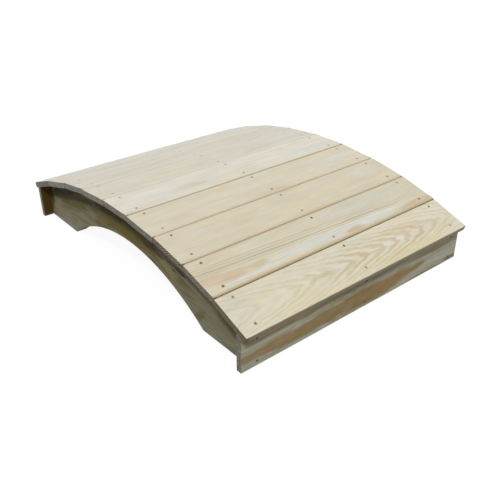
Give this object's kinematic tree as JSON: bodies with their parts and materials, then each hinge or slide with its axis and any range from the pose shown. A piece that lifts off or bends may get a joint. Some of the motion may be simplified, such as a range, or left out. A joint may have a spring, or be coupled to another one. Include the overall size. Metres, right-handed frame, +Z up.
{
  "type": "arched timber garden bridge",
  "caption": "Low arched footbridge of flat wooden boards nailed across sawn arched stringers, closed by an upright board at each end.",
  "frame": {"origin": "on the ground under the middle of the span, midway between the ends of the deck boards", "axes": "+X along the span towards the near end, +Y across the deck from the left side to the right, +Z up"},
  "size_m": [1.2386, 0.9174, 0.25],
  "materials": {
    "deck_timber": "planed pale pine, unpainted",
    "stringer_timber": "sawn preservative-treated pine, olive brown",
    "end_timber": "planed preservative-treated pine, grey green with brown grain",
    "nail_steel": "dull dark steel"
  },
  "bodies": {
    "root": {"deck_board_1": "deck_timber", "deck_board_2": "deck_timber", "deck_board_3": "deck_timber", "deck_board_4": "deck_timber", "deck_board_5": "deck_timber", "deck_board_6": "deck_timber", "deck_board_7": "deck_timber", "deck_board_8": "deck_timber", "deck_board_9": "deck_timber", "stringer_left": "stringer_timber", "stringer_middle": "stringer_timber", "stringer_right": "stringer_timber", "end_board_near": "end_timber", "end_board_far": "end_timber", "deck_nails_1": "nail_steel", "deck_nails_2": "nail_steel", "deck_nails_3": "nail_steel", "deck_nails_4": "nail_steel", "deck_nails_5": "nail_steel", "deck_nails_6": "nail_steel", "deck_nails_7": "nail_steel", "deck_nails_8": "nail_steel", "deck_nails_9": "nail_steel", "end_nails_near": "nail_steel", "end_nails_far": "nail_steel"}
  },
  "joints": []
}
